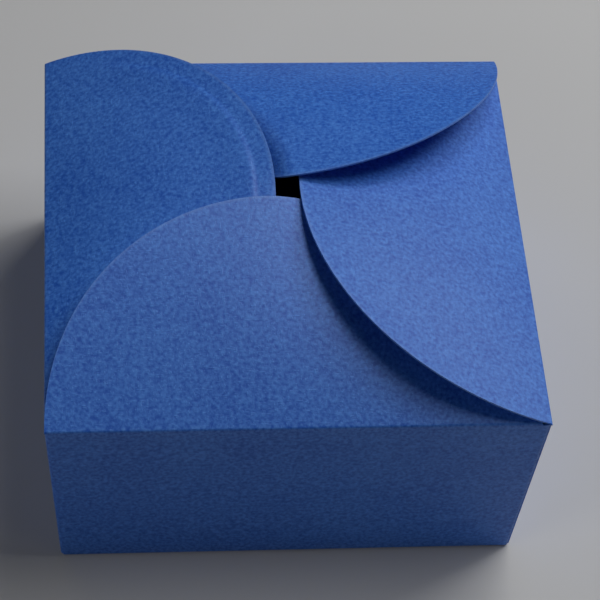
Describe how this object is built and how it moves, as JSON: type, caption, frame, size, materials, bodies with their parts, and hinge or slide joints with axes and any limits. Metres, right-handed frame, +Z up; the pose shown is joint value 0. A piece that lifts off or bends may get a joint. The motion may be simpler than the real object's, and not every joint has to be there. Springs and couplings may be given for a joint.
{
  "type": "petal top box",
  "caption": "Square favour box of folded card, closed on top by interlocking half-round petals round a small square hole.",
  "frame": {"origin": "centre of the base's underside, on the surface that the box stands on", "axes": "+Z up through the centre of the petal top; -Y is the wall in front, and +X the wall on its right"},
  "size_m": [0.1, 0.1, 0.065],
  "materials": {
    "card": "matte uncoated blue card"
  },
  "bodies": {
    "root": {"folded_card_box": "card"}
  },
  "joints": []
}
